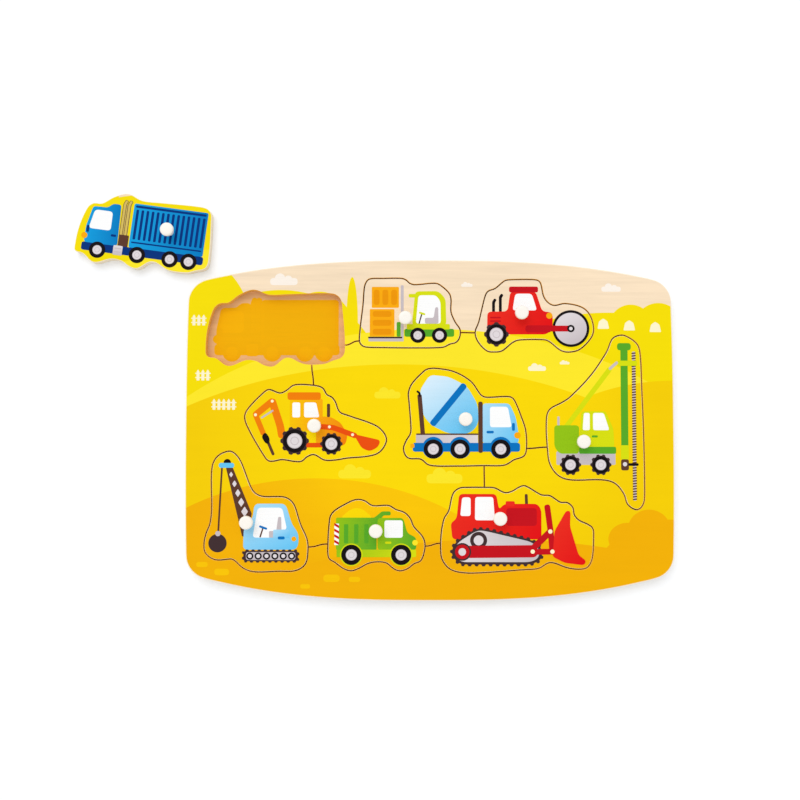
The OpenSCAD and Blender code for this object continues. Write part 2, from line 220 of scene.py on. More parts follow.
class Finish(Nodes):
    """A new material with its Principled shader. Its patterns read Object coordinates."""

    def __init__(self, name, roughness, specular):
        self.material = bpy.data.materials.new(name)
        self.material.use_nodes = True
        super().__init__(self.material.node_tree)
        self.shader = self.tree.nodes["Principled BSDF"]
        self.shader.inputs["Roughness"].default_value = roughness
        self.shader.inputs["Specular IOR Level"].default_value = specular
        self.place = self.node("ShaderNodeTexCoord").outputs["Object"]

    def colour(self, value):
        """Joins a colour to the shader."""
        self.feed(self.shader.inputs["Base Color"], value)

    def vector(self, operation, first, second):
        """One operation on two vectors, part by part."""
        return self.node("ShaderNodeVectorMath", {0: first, 1: second}, operation=operation).outputs[0]

    def toned(self, colour, tone):
        """The colour times a number that changes over the surface."""
        return self.node("ShaderNodeVectorMath", {0: colour, 3: tone}, operation="SCALE").outputs[0]

    def blend(self, share, below, above):
        """The colour below where the share is 0, and the one above where it is 1."""
        return self.node("ShaderNodeMix", {0: share, 6: below, 7: above}, data_type="RGBA").outputs[2]

    def noise(self, place, scale, detail=3.0, roughness=0.55):
        """Noise from 0 to 1 at the place times the scale."""
        sockets = {"Vector": place, "Scale": scale, "Detail": detail, "Roughness": roughness}
        return self.node("ShaderNodeTexNoise", sockets).outputs["Fac"]

    def stretched(self, place, scale, turn=0.0, shift=(0.0, 0.0, 0.0)):
        """The place scaled, then turned about Z, then shifted."""
        sockets = {"Vector": place, "Location": shift, "Rotation": (0.0, 0.0, turn), "Scale": scale}
        return self.node("ShaderNodeMapping", sockets).outputs[0]

    def spread(self, value, low, high, to_low=0.0, to_high=1.0):
        """The value taken from one range to another, and kept in it."""
        sockets = {0: value, 1: low, 2: high, 3: to_low, 4: to_high}
        return self.node("ShaderNodeMapRange", sockets, clamp=True).outputs[0]

    def bump(self, height, strength, distance):
        """Raises the surface by the height, as the shading sees it."""
        bump = self.node("ShaderNodeBump", {"Height": height, "Strength": strength, "Distance": distance})
        self.feed(self.shader.inputs["Normal"], bump.outputs[0])


def rgba(colour):
    """The colour with full cover."""
    return (*colour, 1.0)


def grain(finish, place):
    """Shares of dark streak and of pore along X: noise that is drawn out about sixteen and forty times
    that way, and cut to the upper part of its range."""
    streaks = finish.noise(finish.stretched(place, (16.0, 260.0, 40.0)), 1.0, detail=4.0, roughness=0.6)
    pores = finish.noise(finish.stretched(place, (60.0, 2600.0, 300.0)), 1.0, detail=2.0, roughness=0.5)
    return finish.spread(streaks, 0.35, 0.7), finish.spread(pores, 0.55, 0.75)


def shaded(colour, share):
    """The colour times a share, part by part."""
    return rgba([part * share for part in colour])


def wood_colour(finish, place, colour, contrast):
    """The colour with streaks that are darker by the contrast, and fine darker pores."""
    streaks, pores = grain(finish, place)
    base = finish.blend(streaks, shaded(colour, 1 + contrast / 4), shaded(colour, 1 - contrast))
    return finish.blend(finish.maths("MULTIPLY", pores, 0.35), base, shaded(colour, 1 - 2 * contrast))


def edge_material(name, colour, plates, low):
    """Plywood seen from its edge: plies of two shades one above the other, from half a ply at the height
    low, with thin glue lines between them and end grain in every other ply."""
    finish = Finish(name, roughness=0.75, specular=0.1)
    height = finish.node("ShaderNodeSeparateXYZ", {0: finish.place}).outputs[2]
    plies = finish.maths("DIVIDE", finish.maths("SUBTRACT", height, low), plates.ply)
    cross = finish.maths("GREATER_THAN", finish.maths("PINGPONG", plies, 1.0), 0.5)
    wobble = finish.noise(finish.place, 900.0)
    fibres = finish.noise(finish.stretched(finish.place, (220.0, 220.0, 5200.0)), 1.0)
    long_ply = finish.blend(finish.spread(fibres, 0.3, 0.7), shaded(colour, 0.93), rgba(colour))
    cross_ply = finish.blend(finish.spread(wobble, 0.35, 0.65), shaded(colour, 0.78), shaded(colour, 0.95))
    glue = finish.maths("LESS_THAN", finish.maths("PINGPONG", finish.maths("ADD", plies, 0.5), 0.5), 0.06)
    mixed = finish.blend(cross, long_ply, cross_ply)
    mixed = finish.blend(finish.maths("MULTIPLY", glue, 0.5), mixed, shaded(colour, 0.4))
    finish.colour(mixed)
    finish.bump(finish.maths("ADD", wobble, fibres), strength=0.35, distance=0.1 * MM)
    return finish.material


def backing_material(name, plates):
    """Tan face wood with streaks, pores and a little relief."""
    finish = Finish(name, roughness=0.7, specular=0.25)
    finish.colour(wood_colour(finish, finish.place, plates.tan, contrast=0.13))
    streaks, pores = grain(finish, finish.place)
    finish.bump(finish.maths("SUBTRACT", streaks, pores), strength=0.25, distance=0.1 * MM)
    return finish.material


def way_out(finish, place, across, up, half_width, half_height):
    """The share of the way from an ellipse's middle to its edge: the length of the place, less the middle
    and over the half axes."""
    moved = finish.vector("SUBTRACT", place, (across, up, 0.0))
    scaled = finish.vector("MULTIPLY", moved, (1 / half_width, 1 / half_height, 0.0))
    return finish.node("ShaderNodeVectorMath", {0: scaled}, operation="LENGTH").outputs[1]


def landscape(finish, place, plates, inks):
    """The printed landscape in millimetres on the board: bare wood for the sky, and hills and tree tops
    before it. Each form is a union of ellipses, given by their middles and half axes, and is laid over what
    lies behind it. It goes over to its second ink between half and nearly all of the way to the board's
    edge."""
    hills = (
        (-150.0, 62.0, 40.0, 46.0), (-92.0, 30.0, 62.0, 56.0), (-68.0, 50.0, 24.5, 35.0),
        (-47.8, 64.0, 3.6, 30.0), (110.0, 20.0, 90.0, 52.0), (124.0, 62.0, 14.0, 15.0),
        (141.0, 60.0, 16.0, 18.0),
    )
    near_hill = (
        (-70.0, -150.0, 150.0, 120.0), (128.0, -82.0, 24.0, 18.0), (121.0, -67.0, 12.0, 10.0),
        (134.0, -61.0, 13.0, 12.0), (147.0, -68.0, 12.0, 13.0),
    )
    forms = (
        (inks.yellow, inks.yellow, hills),
        (inks.light, inks.light, [(0.0, -80.0, 210.0, 142.0)]),
        (inks.field, inks.deep, [(-20.0, -110.0, 230.0, 150.0), (150.0, -50.0, 110.0, 80.0)]),
        (inks.gold, inks.amber, near_hill),
        (inks.amber, inks.amber, [(40.0, -217.0, 260.0, 150.0)]),
    )
    colour = wood_colour(finish, finish.stretched(place, (MM, MM, MM)), plates.pale, contrast=0.07)
    outer = finish.spread(way_out(finish, place, 0.0, 0.0, *HALF_BOARD), 0.5, 0.95)
    for ink, edge_ink, ellipses in forms:
        inside = [finish.maths("LESS_THAN", way_out(finish, place, *numbers), 1.0) for numbers in ellipses]
        share = inside[0]
        for other in inside[1:]:
            share = finish.maths("MAXIMUM", share, other)
        printed = rgba(ink) if ink == edge_ink else finish.blend(outer, rgba(ink), rgba(edge_ink))
        colour = finish.blend(share, colour, printed)
    return colour


def print_material(name, plates, inks, turn=0.0, shift=(0.0, 0.0, 0.0)):
    """The landscape on a plate that is turned and shifted back to where it belongs on the board, with the
    wood's grain faintly raised through the ink."""
    finish = Finish(name, roughness=0.5, specular=0.05)
    place = finish.stretched(finish.place, (1 / MM, 1 / MM, 1 / MM), turn, shift)
    colour = landscape(finish, place, plates, inks)
    streaks, pores = grain(finish, finish.place)
    cloudy = finish.noise(finish.place, 25.0, detail=2.0)
    uneven = finish.maths("ADD", finish.maths("MULTIPLY", streaks, 0.3), cloudy)
    tone = finish.spread(uneven, 0.3, 1.1, to_low=1.02, to_high=0.97)
    finish.colour(finish.toned(colour, tone))
    finish.feed(finish.shader.inputs["Roughness"], finish.spread(pores, 0.0, 1.0, to_low=0.42, to_high=0.55))
    finish.bump(finish.maths("SUBTRACT", streaks, pores), strength=0.12, distance=0.05 * MM)
    return finish.material


def paint_material(name, pegs):
    """Satin paint, faintly mottled, with a slight orange peel."""
    finish = Finish(name, roughness=0.32, specular=0.4)
    mottle = finish.noise(finish.place, 260.0, detail=2.0)
    finish.colour(finish.blend(mottle, rgba(pegs.paint), shaded(pegs.paint, 0.95)))
    finish.bump(finish.noise(finish.place, 1400.0, detail=2.0), strength=0.08, distance=0.05 * MM)
    return finish.material


def ink_material(name):
    """Printing ink in the colour of each point, a little uneven and with faint grain."""
    finish = Finish(name, roughness=0.5, specular=0.05)
    colour = finish.node("ShaderNodeAttribute", attribute_name="ink").outputs["Color"]
    streaks, pores = grain(finish, finish.place)
    uneven = finish.maths("ADD", finish.maths("MULTIPLY", streaks, 0.5), pores)
    tone = finish.spread(uneven, 0.0, 1.5, to_low=1.0, to_high=0.93)
    finish.colour(finish.toned(colour, tone))
    finish.bump(finish.maths("SUBTRACT", streaks, pores), strength=0.1, distance=0.05 * MM)
    return finish.material


def unit(vectors):
    """Each vector over its length."""
    return vectors / np.linalg.norm(vectors, axis=-1, keepdims=True)


def turned(places, angle):
    """Flat places turned counter-clockwise about the origin."""
    cosine, sine = math.cos(angle), math.sin(angle)
    return np.asarray(places) @ ((cosine, sine), (-sine, cosine))


def mitre(loop):
    """For each point of a closed loop, how it moves when both of its segments move to their right by 1: the
    sum of the two normals over 1 plus their product."""
    way = unit(np.roll(loop, -1, axis=0) - loop)
    before = np.roll(way, 1, axis=0)
    normals = (way + before)[:, ::-1] * (1, -1)
    return normals / np.maximum(1 + (way * before).sum(axis=1, keepdims=True), LEAST_MITRE)


def bends(loop, corner=math.radians(35)):
    """For each segment of a closed loop its length, the unit way along it, and whether the loop turns a
    corner where the segment starts."""
    ahead = np.roll(loop, -1, axis=0) - loop
    length = np.linalg.norm(ahead, axis=1, keepdims=True)
    way = ahead / length
    return length, way, (way * np.roll(way, 1, axis=0)).sum(axis=1, keepdims=True) < math.cos(corner)


def cleared(loop, least):
    """The loop without points that lie closer than least to the point before them or to a corner after
    them."""
    length, _, sharp = bends(loop)
    near = (np.roll(length, 1, axis=0) < least) | (length < least) & np.roll(sharp, -1, axis=0)
    return loop[(sharp | ~near)[:, 0]]


def smooth(loop, steps, least):
    """A closed curve through the loop's points: on each segment a cubic whose handles are a third of its
    length. At a point the handles lie along the parabola through it and its neighbours, and at a corner
    along the segments. A segment shorter than three times least stays straight."""
    loop = cleared(cleared(loop, least), least)
    length, way, sharp = bends(loop)
    way_before, length_before = np.roll(way, 1, axis=0), np.roll(length, 1, axis=0)
    tangent = unit(way * length_before + way_before * length)
    leaving, arriving = np.where(sharp, way, tangent), np.where(sharp, way_before, tangent)
    start, end = loop[:, None], np.roll(loop, -1, axis=0)[:, None]
    handle = length[:, None] / 3
    first, second = start + leaving[:, None] * handle, end - np.roll(arriving, -1, axis=0)[:, None] * handle
    share = (np.arange(steps) / steps)[None, :, None]
    rest = 1 - share
    curve = start * rest**3 + 3 * first * share * rest**2 + 3 * second * share**2 * rest + end * share**3
    return curve[(share[..., 0] == 0) | (length > 3 * least)]


def boundary_loops(node, height):
    """Closed outlines of a CAD plate's flat face at a height, with the plate to their left.

    The triangles' corners are merged by place. A side that only one triangle has is on the boundary, so
    each boundary corner has one follower. Hops that double until every corner has gone round give each
    corner its loop, which is the lowest corner it reaches, and its count of hops to that corner."""
    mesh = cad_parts[node].data
    places = np.empty((len(mesh.vertices), 3), np.float32)
    mesh.vertices.foreach_get("co", places.ravel())
    mesh.calc_loop_triangles()
    corners = np.empty((len(mesh.loop_triangles), 3), np.int32)
    mesh.loop_triangles.foreach_get("vertices", corners.ravel())
    micrometres = np.round(places / MICROMETRE).astype(np.int64)
    _, first, merged = np.unique(micrometres, axis=0, return_index=True, return_inverse=True)
    flat = np.abs(places[corners, 2] - height).max(axis=1) < FACE_TOLERANCE
    corners = merged.ravel()[corners[flat]]
    starts, ends = corners.ravel(), np.roll(corners, -1, axis=1).ravel()
    alone = ~np.isin(starts * len(first) + ends, ends * len(first) + starts)
    starts, ends = starts[alone], ends[alone]
    order = np.argsort(starts)
    starts, ends = starts[order], ends[order]
    follower = np.searchsorted(starts, ends)
    numbers = np.arange(len(starts))
    doublings = len(starts).bit_length()
    loop, hop = numbers.copy(), follower
    for _ in range(doublings):
        loop, hop = np.minimum(loop, loop[hop]), hop[hop]
    left = (numbers != loop).astype(int)
    hop = np.where(left, follower, numbers)
    for _ in range(doublings):
        left, hop = left + left[hop], hop[hop]
    order = np.lexsort((-left * (left > 0) - (left == 0) * (len(starts) + 1), loop))
    outline = places[first[starts[order]], :2].astype(float)
    return np.split(outline, np.flatnonzero(np.diff(loop[order])) + 1)


def new_object(name, places, corners, sizes, slots, materials, sharp=math.radians(38), spread=None):
    """An object from arrays: the points, the faces' corners one after another, each face's number of
    corners, and each face's slot or the one slot of them all. Edges that bend more than sharp stay sharp,
    and spread is each corner's place on the map."""
    mesh = bpy.data.meshes.new(name)
    mesh.vertices.add(len(places))
    mesh.vertices.foreach_set("co", np.asarray(places, np.float32).ravel())
    mesh.loops.add(len(corners))
    mesh.loops.foreach_set("vertex_index", np.asarray(corners, np.int32))
    mesh.polygons.add(len(sizes))
    mesh.polygons.foreach_set("loop_start", (np.cumsum(sizes) - sizes).astype(np.int32))
    mesh.polygons.foreach_set("material_index", np.broadcast_to(slots, len(sizes)).astype(np.int32))
    mesh.polygons.foreach_set("use_smooth", np.ones(len(sizes), bool))
    if spread is not None:
        mesh.uv_layers.new(name=MAP_NAME).data.foreach_set("uv", np.asarray(spread, np.float32).ravel())
    mesh.update(calc_edges=True)
    mesh.set_sharp_from_angle(angle=sharp)
    for material in materials:
        mesh.materials.append(material)
    made = bpy.data.objects.new(name, mesh)
    bpy.context.scene.collection.objects.link(made)
    return made


def ring_quads(rows, count, first=0):
    """The corners of the quads between rings of points that stand one above the other, from the first
    point's number. A quad goes from its point to the next one in the ring, up, and back."""
    ring = np.arange(count)
    foot = first + np.arange(rows - 1)[:, None] * count
    here, there = foot + ring, foot + np.roll(ring, -1)
    return np.stack([here, there, there + count, here + count], axis=-1).reshape(-1)


def turned_solid(section, around):
    """The points, corners and face sizes of a section of radii and heights carried round Z. Each point of
    it becomes a ring at its height, the radius times the cosine and the sine of even angles, and the ends,
    which lie on the axis, close it with a fan of triangles each."""
    ring, rows = circle(0, 0, 1, around), len(section) - 2
    levels = np.broadcast_to(section[1:-1, None, 1:], (rows, around, 1))
    sides = np.concatenate([section[1:-1, None, :1] * ring, levels], axis=2).reshape(-1, 3)
    tips = np.pad(section[[0, -1], 1:], ((0, 0), (2, 0)))
    first = np.arange(around)
    last = first + (rows - 1) * around
    bottom = np.stack([np.full(around, rows * around), np.roll(first, -1), first], axis=1)
    top = np.stack([np.full(around, rows * around + 1), last, np.roll(last, -1)], axis=1)
    corners = np.concatenate([ring_quads(rows, around), bottom.ravel(), top.ravel()])
    sizes = np.repeat([4, 3], [(rows - 1) * around, 2 * around])
    return np.concatenate([sides, tips]), corners, sizes


def cap(places, rings):
    """The triangles between closed flat rings of points, which are given by their numbers. The inner rings
    stay open."""
    flat = [np.pad(places[ring, :2] / MM, ((0, 0), (0, 1))).tolist() for ring in rings]
    return np.concatenate(rings)[np.array(tessellate_polygon(flat))]


def wall_section(low, high, lower_rim, upper_rim, plates):
    """How far each row of a plate's wall lies inside its outline, and its height, from the underside up.
    The rims are quarter circles of the two radii, and a flat hem joins each to its cap."""
    bend = np.linspace(0, math.pi / 2, plates.rim_steps + 1)
    inward, rise = 1 - np.sin(bend), 1 - np.cos(bend)
    inset = np.concatenate([
        [lower_rim + plates.hem], lower_rim * inward, upper_rim * inward[::-1], [upper_rim + plates.hem]
    ])
    return inset, np.concatenate([[low], low + lower_rim * rise, high - upper_rim * rise[::-1], [high]])


def wall_map(starts, steps, inset, heights, width, gap):
    """Where a wall's quads lie on the map: along the outline from the left, in strips of the given width
    that stand one above the other with gaps between them, and up the wall by the length of its section."""
    up = np.concatenate([[0], np.cumsum(np.hypot(np.diff(inset), np.diff(heights)))])
    strip = np.floor(starts / width)
    left, foot = starts - strip * width + gap, strip * (up[-1] + gap) + gap
    across = np.stack([left, left + steps, left + steps, left], axis=-1)
    across = np.broadcast_to(across, (len(up) - 1, *across.shape))
    along = np.stack([up[:-1], up[:-1], up[1:], up[1:]], axis=-1)[:, None] + foot[:, None]
    return np.stack([across, along], axis=-1).reshape(-1, 2)


def plate_map(flat, slots, walls, gap, underside):
    """Each corner's place on a plate's map, from 0 to 1: the walls' strips at the bottom, then the
    underside at a share of its size, mirrored as it is seen from below, and the top above it. flat is each
    corner's place seen from above, and slots tells the top, 1, and the underside, 2, from the walls."""
    low, high = flat.min(axis=0), flat.max(axis=0)
    foot = walls[:, 1].max() + gap
    below = np.abs(flat - (high[0], low[1])) * underside + (gap, foot)
    foot += (high[1] - low[1]) * underside + gap
    above = flat - low + (gap, foot)
    spread = np.concatenate([walls, np.zeros((len(flat) - len(walls), 2))])
    spread = np.where(slots[:, None] == 1, above, np.where(slots[:, None] == 2, below, spread))
    return spread / (high[0] - low[0] + 2 * gap, foot + high[1] - low[1] + gap)


def build_plate(name, node, materials, plates, lower_rim, upper_rim, underside=0.5):
    """A plate from its CAD node's outlines: a wall section with sanded rims carried round each loop, and
    flat caps. The two rims are those of the outer loop, and the inner loops have the plates' own. The
    materials are those of the outer edge, the top, the bottom and the inner edges. Three materials are for
    a plate that keeps its outer loop alone, such as a piece whose only hole is under its peg. The underside
    has that share of its size on the map."""
    low, high = (corner.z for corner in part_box(node))
    low += plates.lift
    loops = sorted(boundary_loops(node, high), key=lambda loop: -np.ptp(loop[:, 0]))
    kept = loops if len(materials) > 3 else loops[:1]
    loops = [smooth(loop, plates.curve_steps, plates.least) for loop in kept]
    wide = np.ptp(loops[0][:, 0])
    gap = wide * MAP_GAP
    strip = wide - max(bends(loop)[0].max() for loop in loops)
    places, corners, slots, walls, low_rings, high_rings = [], [], [], [], [], []
    first, walked = 0, 0.0
    for loop in loops:
        outer = loop is loops[0]
        rims = (lower_rim, upper_rim) if outer else (plates.rim, plates.rim)
        inset, heights = wall_section(low, high, *rims, plates)
        rows, count = len(inset), len(loop)
        rings = loop - inset[:, None, None] * mitre(loop)
        levels = np.broadcast_to(heights[:, None, None], (rows, count, 1))
        places.append(np.concatenate([rings, levels], axis=2).reshape(-1, 3))
        corners.append(ring_quads(rows, count, first))
        slots.append(np.repeat([2] + [0 if outer else 3] * (rows - 3) + [1], count))
        steps = bends(loop)[0][:, 0]
        walls.append(wall_map(walked + np.cumsum(steps) - steps, steps, inset, heights, strip, gap))
        walked += steps.sum() + gap
        low_rings.append(first + np.arange(count))
        first += rows * count
        high_rings.append(first - count + np.arange(count))
    places = np.concatenate(places)
    top, bottom = cap(places, high_rings), cap(places, low_rings)[:, ::-1]
    slots = np.concatenate(slots + [np.full(len(top), 1), np.full(len(bottom), 2)])
    triangles = len(top) + len(bottom)
    sizes = np.repeat([4, 3], [len(slots) - triangles, triangles])
    corners = np.concatenate(corners + [top.ravel(), bottom.ravel()])
    spread = plate_map(places[corners, :2], np.repeat(slots, sizes), np.concatenate(walls), gap, underside)
    return new_object(name, places, corners, sizes, slots, materials, spread=spread)


def counter_clockwise(outline):
    """The outline, or its reverse if twice its signed area is below zero."""
    following = np.roll(outline, -1, axis=0)
    area = (outline[:, 0] * following[:, 1] - outline[:, 1] * following[:, 0]).sum()
    return outline if area > 0 else outline[::-1]


def rounded(points, bend, steps=5):
    """The closed outline with a parabola for each corner, from a bend before it to a bend after it, or from
    nearly halfway along a side that is too short for that."""
    points = counter_clockwise(np.array(points, float))
    length, way, _ = bends(points)
    after = np.minimum(bend, length * NEARLY_HALF)
    start, end = points - np.roll(way * after, 1, axis=0), points + way * after
    share = np.linspace(0, 1, steps + 1)[None, :, None]
    rest = 1 - share
    curve = start[:, None] * rest**2 + 2 * points[:, None] * share * rest + end[:, None] * share**2
    return curve.reshape(-1, 2)


def circle(x, y, radius, count=48):
    """Points at even angles round a middle: the radius times the cosine and the sine."""
    angle = np.arange(count) * 2 * math.pi / count
    return np.stack([x + radius * np.cos(angle), y + radius * np.sin(angle)], axis=1)


def toothed(outline, teeth, depth):
    """The outline walked in even steps, twelve to a tooth, and moved inwards between the teeth by the
    depth. The share that it moves follows the hyperbolic tangent of a cosine, so the flanks are steep and
    the ends round."""
    closed = np.vstack([outline, outline[:1]])
    walked = np.concatenate([[0], np.cumsum(np.linalg.norm(np.diff(closed, axis=0), axis=1))])
    share = np.arange(teeth * 12) / (teeth * 12)
    even = np.stack([np.interp(share * walked[-1], walked, closed[:, axis]) for axis in (0, 1)], axis=1)
    gap = (1 - np.tanh(3 * np.cos(share * teeth * 2 * math.pi))) / 2
    return even - depth * gap[:, None] * mitre(even)


class Ink:
    """One picture: flat closed shapes in millimetres from its middle, each laid over the ones before it. A
    shape may fade from its own colour to a second one along a way, which is an angle in degrees."""

    def __init__(self, inks):
        self.inks, self.shapes = inks, []

    def shape(self, colour, outline, fade=None, way=90):
        """Adds an outline with the colour of each of its points, which is in step with its distance along
        the way."""
        distance = outline @ (math.cos(math.radians(way)), math.sin(math.radians(way)))
        share = ((distance - distance.min()) / np.ptp(distance))[:, None]
        first, second = (np.array(getattr(self.inks, name)) for name in (colour, fade or colour))
        self.shapes.append((outline, first + share * (second - first)))

    def blob(self, colour, bend, *points, **fading):
        """The closed outline through the points, with rounded corners."""
        self.shape(colour, rounded(points, bend), **fading)

    def box(self, colour, left, low, right, high, bend=0.8, **fading):
        """A rectangle with rounded corners."""
        self.blob(colour, bend, (left, low), (right, low), (right, high), (left, high), **fading)

    def disc(self, colour, x, y, radius, **fading):
        """A circle about x and y."""
        self.shape(colour, circle(x, y, radius), **fading)

    def strip(self, colour, width, *points, **fading):
        """A line of a width through the points, with round ends."""
        line = np.array(points, float)
        ways = unit(np.diff(line, axis=0))
        line[0] -= ways[0] * width / 3
        line[-1] += ways[-1] * width / 3
        before, after = np.vstack([ways[:1], ways]), np.vstack([ways, ways[-1:]])
        sides = (before + after)[:, ::-1] * (-1, 1) / (1 + (before * after).sum(axis=1, keepdims=True))
        left, right = line + sides * width / 2, line - sides * width / 2
        self.blob(colour, width * NEARLY_HALF, *left, *right[::-1], **fading)

    def wheel(self, x, y, radius, hub, lugs=0):
        """A tyre, with lugs if it has any, and a hub with a ring round its middle."""
        if lugs:
            self.shape("coal", toothed(circle(x, y, radius), lugs, depth=radius * 0.13))
            self.disc("black", x, y, radius * 0.8)
        else:
            self.disc("black", x, y, radius)
        for colour, share in (("steel", 1), ("silver", 0.9), ("steel", 0.55), ("silver", 0.45)):
            self.disc(colour, x, y, hub * share)

    def cloud(self, colour, x, y, width):
        """A flat-bottomed cloud with two puffs, whose middle stands at x and whose foot lies at y."""
        self.box(colour, x - width / 2, y, x + width / 2, y + width * 0.26, width * 0.13)
        self.disc(colour, x - width * 0.14, y + width * 0.24, width * 0.19)
        self.disc(colour, x + width * 0.16, y + width * 0.2, width * 0.15)

    def fence(self, colour, x, y, posts):
        """Pointed pickets on two rails, with its lower left corner at x and y."""
        for up in (1.8, 4.4):
            self.strip(colour, 0.7, (x, y + up), (x + posts * 3, y + up))
        for number in range(posts):
            left = x + 0.6 + number * 3
            self.blob(colour, 0.3, (left, y), (left + 1.8, y), (left + 1.8, y + 5.4), (left + 0.9, y + 6.8),
                      (left, y + 5.4))

    def to_amber(self, spread=0.8):
        """Turns each colour to amber, a little paler where the colour is light, and spreads each shape, so
        that they flow together."""
        amber = np.array(self.inks.amber)
        self.shapes = [
            (outline + spread * mitre(outline), amber * (1 + 0.05 * colours.mean(axis=1, keepdims=True)))
            for outline, colours in self.shapes
        ]


def draw_truck(ink):
    """A lorry with a ribbed box."""
    ink.box("navy", -53.2, -18.2, 23.2, -13, 1.6)
    ink.blob("blue", 1.8, (-52, -13.2), (-52, -3), (-49.2, 9.8), (-40, 10), (-37.2, 12.8), (-32, 12.8),
             (-31, -13.2), fade="azure", way=180)
    ink.blob("white", 2.2, (-50.2, -4.2), (-47.8, 7.8), (-36.6, 7.8), (-36.4, -4.2))
    ink.strip("navy", 1.4, (-35.4, -7), (-33, -7))
    ink.strip("navy", 1.7, (-50.6, -3), (-50.6, -6.2))
    ink.disc("honey", -52.2, -9, 1.9)
    ink.box("sand", -30.6, -7, -25.6, 13.2, 0.6)
    for across in (-29.8, -27):
        ink.strip("brown", 2.2, (across, -7), (across, 13.2), (across + 0.9, 15.4))
        ink.strip("sand", 1.5, (across, -7), (across, 13.2), (across + 0.9, 15.4))
    ink.box("brown", -30.8, -13, -24.6, -5.8, 0.6)
    ink.box("blue", -24, -13, 22.6, 14.8, 1.4, fade="azure", way=180)
    ink.strip("navy", 1.4, (-22.4, 13), (21, 13))
    ink.strip("navy", 0.9, (-22.4, -9.6), (21, -9.6))
    for number in range(14):
        across = -21.4 + number * 3.22
        ink.strip("navy", 1.6, (across, -7.2), (across, 10.6))
    ink.box("silver", -33.2, -18.8, -27.4, -12.8, 0.8, fade="steel", way=-90)
    for up in (-14.6, -16.8):
        ink.strip("steel", 0.7, (-32.2, up), (-28.4, up))
    for across in (-43, -18, 2.5, 14.3):
        ink.wheel(across, -17.1, 5.1, 2.9)


def draw_forklift(ink):
    """A forklift with two crates on its forks."""
    ink.box("steel", -2.7, -12, -0.9, 21, 0.7)
    ink.box("steel", -22.6, -13.8, -0.9, -11.8, 0.5)
    ink.box("coal", -22.8, -11.9, -1.8, -10.9, 0.4)
    ink.box("honey", -21.8, -10.7, -6.6, 6.2)
    ink.box("honey", -20.6, 7, -3.8, 20)
    for number in range(3):
        up = -7.8 + number * 5.5
        ink.strip("ochre", 3.6, (-18.8, up), (-9.6, up))
        across = -17.6 + number * 5.4
        ink.strip("ochre", 3.6, (across, 10), (across, 17))
    ink.blob("lime", 2.6, (4.2, -4), (6.2, 17.2), (20.6, 17.4), (25, 12.6), (25.4, -4))
    ink.box("lime", 2.2, 13.4, 8, 15.6, 0.9)
    ink.blob("white", 2, (6.6, -2.8), (8.2, 14.8), (19, 14.8), (21.8, 11), (22, -2.8))
    ink.blob("steel", 1.2, (12.2, -2.8), (12.2, 0.8), (17.6, 0.8), (18.6, 7.4), (20.4, 7.4), (20.6, -2.8))
    ink.strip("coal", 0.8, (8.6, -2.6), (10.4, 3.6))
    ink.strip("lime", 1.2, (9, 4), (12, 3))
    ink.box("green", -0.4, -10.9, 30.2, -6, 1.4)
    ink.box("lime", 1, -6.4, 27.6, -3, 1)
    ink.box("green", -5.2, -10.8, -2.8, -1.8, 0.8)
    for across in (7.8, 21.2):
        ink.wheel(across, -10, 4.7, 2.7)


def draw_roller(ink):
    """A road roller."""
    for across, up in ((-16.6, 7.4), (-12.4, 10.4)):
        ink.strip("black", 1.8, (across, 0), (across, up), (across + 1, up + 1.4))
    ink.disc("black", 31, -9, 11.4)
    ink.disc("silver", 31, -9, 9.8, fade="steel", way=-60)
    ink.blob("red", 2.6, (-20.6, -11.5), (-20.4, 1.4), (-8, 1.6), (-6.2, 14), (9.4, 14), (13.4, 1.6),
             (19.8, 1), (19.8, -8.6), (16.4, -12.6), (-8, -12.6), fade="scarlet", way=150)
    ink.blob("white", 2, (-4.9, 2.2), (-3.2, 12.6), (7, 12.6), (10.2, 2.2))
    ink.box("crimson", -7, 13.4, 10.9, 17, 1.3)
    ink.disc("honey", 17.8, -1, 1.9)
    ink.box("crimson", 3, -11.4, 19, -7, 1.9)
    ink.strip("crimson", 3.6, (16, -9), (31, -9))
    ink.disc("black", 31, -9, 2.3)
    ink.disc("silver", 31, -9, 1.1)
    for up in (-2.2, -4.4):
        ink.strip("crimson", 0.9, (-18.4, up), (-12.4, up))
    ink.wheel(-14.9, -12.6, 7.6, 4.2, lugs=8)


